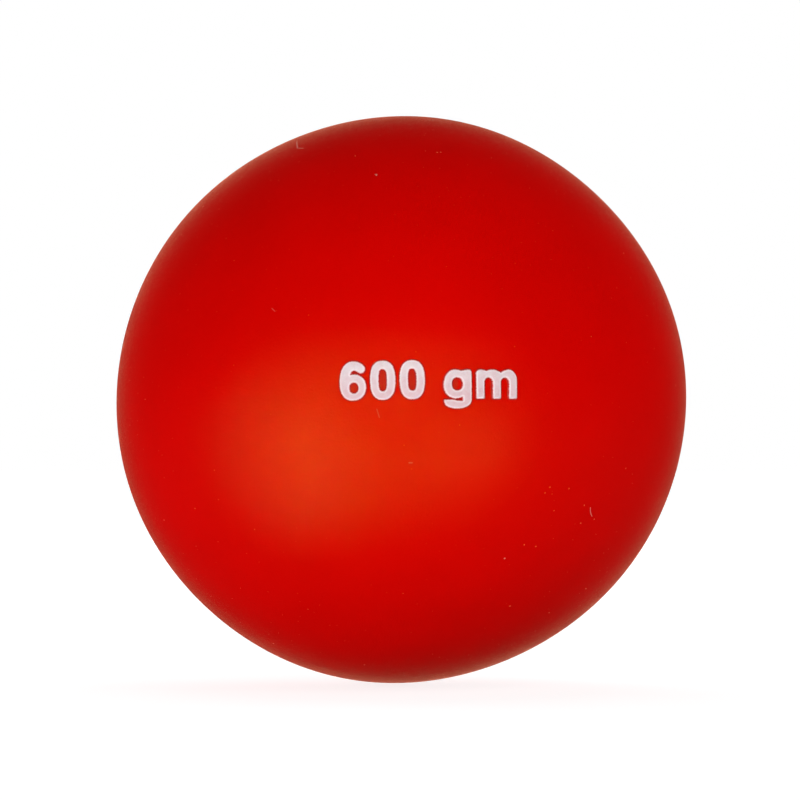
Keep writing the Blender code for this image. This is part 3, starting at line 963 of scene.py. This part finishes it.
def makeMark():
    # the characters set side by side, each width followed by its space, and the line centred
    material = makeMarkPaint()
    line = [
        ("raisedSix", "figure_6", figureSix(), mark["sixWidth"], mark["letterSpace"]),
        ("raisedZeroFirst", "figure_0_first", figureZero(), mark["zeroWidth"], mark["letterSpace"]),
        ("raisedZeroSecond", "figure_0_second", figureZero(), mark["zeroWidth"], mark["wordSpace"]),
        ("raisedG", "letter_g", letterG(), mark["gWidth"], mark["lastSpace"]),
        ("raisedM", "letter_m", letterM(), mark["mWidth"], 0.0),
    ]
    left = -sum(width + space for _, _, _, width, space in line) / 2
    for name, node, knots, width, space in line:
        makeCharacter(name, node, knots, left, material)
        left += width + space


makeMark()


# Sand inside, never seen: the frame's own solid with the look of dry sand

sand = {
    "deepColour": (0.46, 0.34, 0.20),
    "colour": (0.62, 0.49, 0.32),
    "paleColour": (0.8, 0.74, 0.62),
    "paleShare": 0.4,
    "grain": 0.4,                      # size of a grain
    "patch": 5.0,                      # and of its broad changes of tone
    "roughness": 0.95,
    "grainHeight": 0.1,
}


def dressSand():
    # two tones of sand by a broad noise, then paler grains by the pale share * the chance of each cell
    material, tree, shader, place = newMaterial("drySand")
    scaled = vectorCalc(tree, "SCALE", place, scale=1000.0)
    grains = newNode(tree, "TexVoronoi", {"Vector": scaled, "Scale": 1 / sand["grain"]})
    tone = newNode(tree, "TexNoise", {"Vector": scaled, "Scale": 1 / sand["patch"], "Detail": 3.0})
    mixed = blendColour(tree, tone.outputs[0], (*sand["deepColour"], 1.0), (*sand["colour"], 1.0))
    grey = newNode(tree, "SeparateColor", {"Color": grains.outputs["Color"]}).outputs[0]
    pale = calc(tree, "MULTIPLY", grey, sand["paleShare"])
    paler = blendColour(tree, pale, mixed, (*sand["paleColour"], 1.0))
    feed(tree, paler, shader.inputs["Base Color"])
    shader.inputs["Roughness"].default_value = sand["roughness"]
    height = sand["grainHeight"] * mm
    bump = newNode(tree, "Bump", {"Height": grains.outputs["Distance"], "Distance": height})
    feed(tree, bump.outputs[0], shader.inputs["Normal"])
    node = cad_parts["sand_fill"]
    node.data.materials.clear()
    node.data.materials.append(material)


dressSand()
print("sand dressed")


# Studio: a light table with large soft lamps, some of them below the table's top

studio = {
    "floorSize": 3.0,                  # metres
    "floorColour": (0.3, 0.3, 0.3),
    "floorGlow": 0.84,                 # what the camera sees on top of the floor's own light
    "farGlow": 1.0,                    # the same, far from the ball, where the lamps don't reach
    "farStart": 0.2,
    "farEnd": 1.2,
    "fill": 0.04,                      # strength of the surround on the ball
    "seen": 1.0,                       # and in the camera, where 1 is white
    "inGloss": 0.008,                  # share of that white that the satin skin shows
    "lampDistance": 1.0,
    # turn to +X and rise above the table in degrees, width and height in metres, radiance, and whether
    # the satin skin shows it
    "lamps": [
        ("key", -32, -18, 0.55, 0.75, 1.36, True),
        ("keyTop", -32, 8, 0.9, 0.4, 0.45, True),
        ("keyLow", -45, -38, 0.9, 0.5, 0.68, True),
        ("left", -62, -15, 0.6, 0.7, 0.63, True),
        ("front", 0, -22, 0.5, 0.5, 0.66, True),
        ("frontTop", 2, 8, 0.6, 0.4, 0.75, True),
        ("frontLow", 10, -48, 0.8, 0.4, 0.1, True),
        ("right", 24, -25, 0.5, 0.5, 0.44, True),
        ("rightMid", 32, -16, 0.4, 0.4, 1.15, True),
        ("rightTop", 30, 8, 0.5, 0.4, 0.5, True),
        ("wide", -20, -15, 1.8, 1.2, 0.36, True),
        ("softLeft", -50, 0, 0.8, 0.8, 0.89, False),
        ("softFront", 0, 0, 0.8, 0.8, 1.22, False),
        ("softRight", 24, -10, 0.8, 0.8, 0.3, False),
        ("upperRight", 43, 27, 1.0, 1.0, 1.63, False),
        ("sideLeft", -120, -12, 0.9, 0.9, 2.14, False),
        ("sideRight", 125, 0, 0.9, 0.9, 2.1, False),
        ("above", 180, 65, 0.9, 0.9, 1.5, False),
        ("backLeft", -150, 30, 0.9, 0.9, 1.5, False),
        ("backRight", 150, 30, 0.9, 0.9, 0.6, False),
        ("rimLeft", -142, -5, 0.8, 0.8, 2.9, False),
        ("rimRight", 142, -8, 0.8, 0.8, 2.7, False),
    ],
}


def addLamp(name, turn, rise, width, height, radiance, inGloss):
    # an oval sheet of light that faces the ball; power = radiance * pi * its area
    a, e = math.radians(turn), math.radians(rise)
    outward = Vector((math.sin(a) * math.cos(e), -math.cos(a) * math.cos(e), math.sin(e)))
    data = bpy.data.lights.new(name, "AREA")
    data.shape = "ELLIPSE"
    data.size = width
    data.size_y = height
    data.energy = radiance * math.pi * math.pi * width * height / 4
    data.cycles.use_multiple_importance_sampling = False    # its light comes through the table whole
    lamp = bpy.data.objects.new(name, data)
    lamp.location = outward * studio["lampDistance"]
    lamp.rotation_euler = (-outward).to_track_quat("-Z", "Y").to_euler()
    lamp.visible_camera = False
    lamp.visible_glossy = inGloss
    bpy.context.scene.collection.objects.link(lamp)


def whiteShare(tree, whole):
    # the camera and clear pieces see the whole of it, and the ball's satin skin a small share
    rays = newNode(tree, "LightPath").outputs
    seen = calc(tree, "MAXIMUM", rays["Is Camera Ray"], rays["Is Transmission Ray"])
    inGloss = calc(tree, "MULTIPLY", rays["Is Glossy Ray"], studio["inGloss"])
    return calc(tree, "ADD", calc(tree, "MULTIPLY", seen, whole), inGloss)


def makeFloor():
    # a white glow for the camera over a pale matt sheet, so that the ball's shadow stays; the glow grows
    # with the distance from the ball
    s = studio["floorSize"]
    low = -ball["radius"] * mm
    mesh = bpy.data.meshes.new("paleFloor")
    mesh.from_pydata([(-s, -s, low), (s, -s, low), (s, s, low), (-s, s, low)], [], [(0, 1, 2, 3)])
    floor = bpy.data.objects.new("paleFloor", mesh)
    bpy.context.scene.collection.objects.link(floor)
    material = bpy.data.materials.new("paleFloor")
    material.use_nodes = True
    tree = material.node_tree
    tree.nodes.remove(tree.nodes["Principled BSDF"])
    matt = newNode(tree, "BsdfDiffuse", {"Color": (*studio["floorColour"], 1.0)})
    away = vectorCalc(tree, "LENGTH", newNode(tree, "TexCoord").outputs["Object"])
    whole = ramp(tree, away, studio["farStart"], studio["farEnd"], studio["floorGlow"], studio["farGlow"])
    glow = newNode(tree, "Emission", {"Strength": whiteShare(tree, whole)})
    both = newNode(tree, "AddShader")
    tree.links.new(matt.outputs[0], both.inputs[0])
    tree.links.new(glow.outputs[0], both.inputs[1])
    tree.links.new(both.outputs[0], tree.nodes["Material Output"].inputs["Surface"])
    mesh.materials.append(material)
    floor.visible_shadow = False       # the low lamps shine up through the table
    floor.visible_glossy = False       # the skin's gloss shows the surround there as well


def makeSurround():
    # strength = fill on diffuse rays + the white that the camera sees + the share that the gloss shows
    world = bpy.data.worlds.new("paleSurround")
    world.use_nodes = True
    world.cycles.sampling_method = "NONE"      # its strength depends on the kind of ray that meets it
    bpy.context.scene.world = world
    tree = world.node_tree
    diffuse = newNode(tree, "LightPath").outputs["Is Diffuse Ray"]
    onBall = calc(tree, "MULTIPLY", diffuse, studio["fill"])
    back = tree.nodes["Background"]
    back.inputs["Color"].default_value = (1.0, 1.0, 1.0, 1.0)
    feed(tree, calc(tree, "ADD", onBall, whiteShare(tree, studio["seen"])), back.inputs["Strength"])


makeFloor()
makeSurround()
for lamp in studio["lamps"]:
    addLamp(*lamp)
bpy.context.scene.view_settings.view_transform = "Standard"
print("studio ready")
